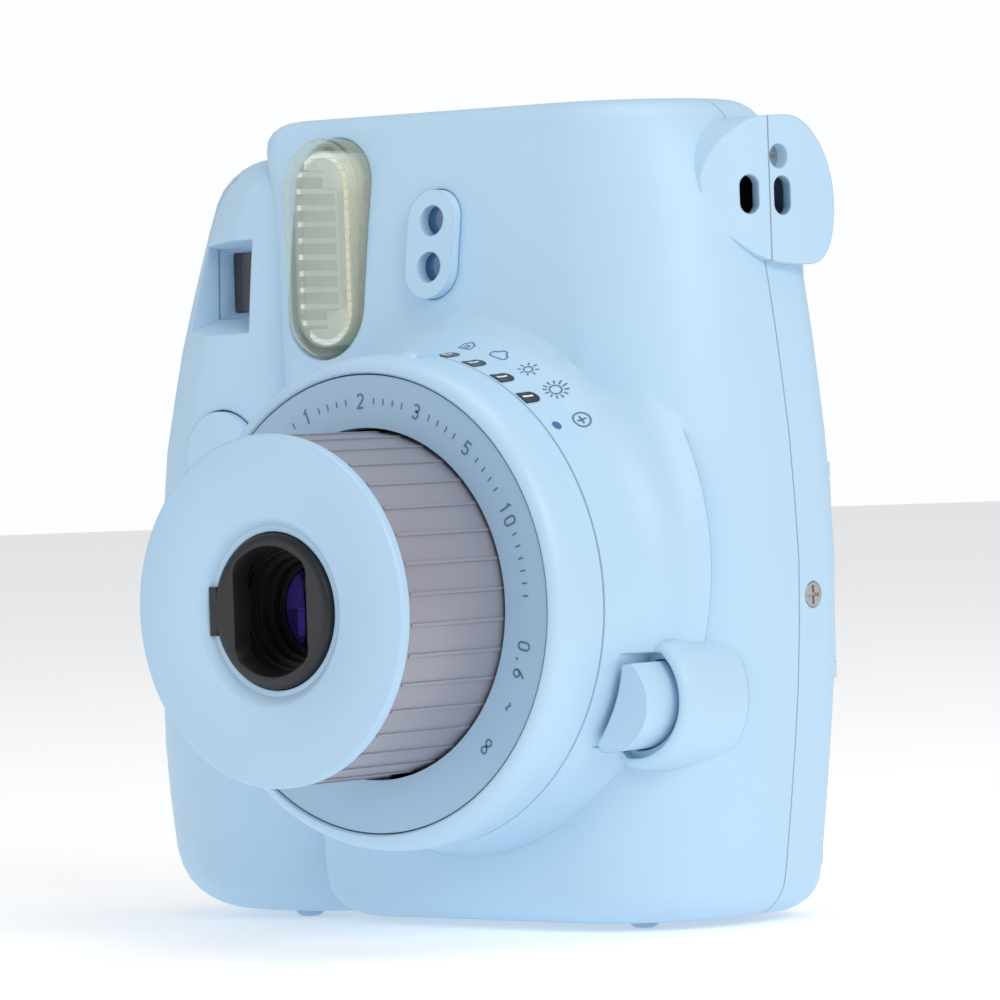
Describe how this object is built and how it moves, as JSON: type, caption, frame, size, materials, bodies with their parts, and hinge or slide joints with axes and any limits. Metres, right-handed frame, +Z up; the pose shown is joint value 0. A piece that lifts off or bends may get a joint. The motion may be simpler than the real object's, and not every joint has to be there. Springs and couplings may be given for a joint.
{
  "type": "instant camera",
  "caption": "Instant film camera with a sliding lens barrel, a brightness dial, a flash, press buttons, hinged film and battery doors and a film eject drive.",
  "frame": {"origin": "centre of the bounding box in plan, at the underside of the feet, with the lens barrel extended", "axes": "+X to the right seen from the front, +Y from the lens towards the film door, +Z up"},
  "size_m": [0.113, 0.0896, 0.1183],
  "materials": {
    "body_blue": "satin moulded plastic",
    "ring_blue": "satin",
    "latch_blue": "satin",
    "barrel_grey": "fine ridged satin",
    "black_plastic": "matt",
    "clear_lens": "polished",
    "dark_window": "polished dark",
    "sensor_blue": "polished",
    "reflector": "mirror",
    "steel": "bright",
    "cell_jacket": "printed jacket",
    "white_plastic": "satin",
    "roller_rubber": "matt",
    "board_green": "solder mask",
    "capacitor_sleeve": "shrink sleeve"
  },
  "bodies": {
    "camera_body": {"front_cover": "body_blue", "rear_cover": "body_blue", "viewfinder_eyepiece": "body_blue", "sensor_panel": "body_blue", "focus_ring_plate": "ring_blue", "feet": "latch_blue", "barrel_guide_sleeve": "black_plastic", "film_chamber_frame": "black_plastic", "viewfinder_tube": "black_plastic", "roller_brackets": "black_plastic", "lamp_windows": "black_plastic", "film_pack": "black_plastic", "eyepiece_lens": "clear_lens", "counter_window": "clear_lens", "flash_window": "clear_lens", "xenon_tube": "clear_lens", "viewfinder_front_lens": "dark_window", "sensor_windows": "sensor_blue", "flash_reflector": "reflector", "side_screw": "steel", "strap_lug_screw": "steel", "film_door_hinge_pins": "steel", "battery_door_hinge_pin": "steel", "barrel_springs": "steel", "power_button_spring": "steel", "shutter_button_spring": "steel", "battery_contacts": "steel", "drive_motor": "steel", "aa_cells": "cell_jacket", "circuit_board": "board_green", "power_switch_bracket": "board_green", "shutter_switch_bracket": "board_green", "flash_capacitor": "capacitor_sleeve"},
    "lens_barrel": {"lens_barrel": "barrel_grey", "lens_front_plate": "body_blue", "lens_hood_ring": "black_plastic", "lens_baffle": "black_plastic", "front_lens": "clear_lens", "lens_board": "black_plastic", "rear_lens_cell": "black_plastic", "rear_lens": "clear_lens"},
    "aperture_wheel": {"aperture_wheel": "steel"},
    "shutter_blade": {"shutter_blade": "steel"},
    "brightness_dial": {"brightness_dial": "body_blue"},
    "power_button": {"power_button": "body_blue"},
    "shutter_button": {"shutter_button": "body_blue"},
    "film_door": {"film_door": "body_blue", "film_window": "clear_lens", "film_pressure_springs": "steel"},
    "upper_door_latch": {"upper_door_latch": "latch_blue"},
    "lower_door_latch": {"lower_door_latch": "latch_blue"},
    "battery_door": {"battery_door": "body_blue"},
    "front_roller": {"front_eject_roller": "roller_rubber", "roller_gear": "white_plastic"},
    "rear_roller": {"rear_eject_roller": "roller_rubber"},
    "motor_pinion": {"motor_pinion": "white_plastic", "motor_shaft": "steel"},
    "pick_claw": {"pick_claw": "steel"},
    "light_flap": {"light_flap": "black_plastic"},
    "film_counter": {"film_counter_disc": "white_plastic"}
  },
  "joints": [
    {"name": "lens_barrel_slide", "type": "slide", "parent": "camera_body", "child": "lens_barrel", "axis": [0, 1, 0], "range_m": [0, 0.0205], "deforming": ["barrel_springs"]},
    {"name": "brightness_dial_turn", "type": "hinge", "parent": "camera_body", "child": "brightness_dial", "pos_m": [0.01267, -0.01855, 0.0478], "axis": [0, 1, 0], "range_deg": [0, 37]},
    {"name": "aperture_wheel_turn", "type": "hinge", "parent": "lens_barrel", "child": "aperture_wheel", "pos_m": [0.01267, -0.03025, 0.0388], "axis": [0, 1, 0], "range_deg": [0, 144]},
    {"name": "shutter_blade_swing", "type": "hinge", "parent": "lens_barrel", "child": "shutter_blade", "pos_m": [0.00017, -0.03085, 0.0548], "axis": [0, -1, 0], "range_deg": [0, 35]},
    {"name": "power_button_press", "type": "slide", "parent": "camera_body", "child": "power_button", "axis": [0, 1, 0], "range_m": [0, 0.0016], "deforming": ["power_button_spring"]},
    {"name": "shutter_button_press", "type": "slide", "parent": "camera_body", "child": "shutter_button", "axis": [0, 1, 0], "range_m": [0, 0.0015], "deforming": ["shutter_button_spring"]},
    {"name": "film_door_swing", "type": "hinge", "parent": "camera_body", "child": "film_door", "pos_m": [0.04807, 0.03545, 0.0498], "axis": [0, 0, -1], "range_deg": [0, 95]},
    {"name": "upper_latch_slide", "type": "slide", "parent": "film_door", "child": "upper_door_latch", "axis": [0, 0, -1], "range_m": [0, 0.0024]},
    {"name": "lower_latch_slide", "type": "slide", "parent": "film_door", "child": "lower_door_latch", "axis": [0, 0, 1], "range_m": [0, 0.0024]},
    {"name": "battery_door_swing", "type": "hinge", "parent": "camera_body", "child": "battery_door", "pos_m": [-0.05393, 0.01445, 0.0148], "axis": [0, -1, 0], "range_deg": [0, 70]},
    {"name": "front_roller_spin", "type": "hinge", "parent": "camera_body", "child": "front_roller", "pos_m": [0.01267, 0.0244, 0.1058], "axis": [1, 0, 0], "continuous": true},
    {"name": "rear_roller_spin", "type": "hinge", "parent": "camera_body", "child": "rear_roller", "pos_m": [0.01267, 0.0295, 0.1058], "axis": [1, 0, 0], "continuous": true},
    {"name": "motor_pinion_spin", "type": "hinge", "parent": "camera_body", "child": "motor_pinion", "pos_m": [-0.02033, 0.01549, 0.10774], "axis": [1, 0, 0], "continuous": true},
    {"name": "pick_claw_slide", "type": "slide", "parent": "camera_body", "child": "pick_claw", "axis": [0, 0, 1], "range_m": [0, 0.008]},
    {"name": "light_flap_swing", "type": "hinge", "parent": "camera_body", "child": "light_flap", "pos_m": [0.01267, 0.02895, 0.1138], "axis": [-1, 0, 0], "range_deg": [0, 80]},
    {"name": "film_counter_turn", "type": "hinge", "parent": "camera_body", "child": "film_counter", "pos_m": [-0.03083, 0.03115, 0.0188], "axis": [0, 1, 0], "continuous": true}
  ],
  "couplings": [
    {"joint": "aperture_wheel_turn", "follows": "brightness_dial_turn", "ratio": 3.8914},
    {"joint": "rear_roller_spin", "follows": "front_roller_spin", "ratio": -1},
    {"joint": "motor_pinion_spin", "follows": "front_roller_spin", "ratio": -2}
  ]
}
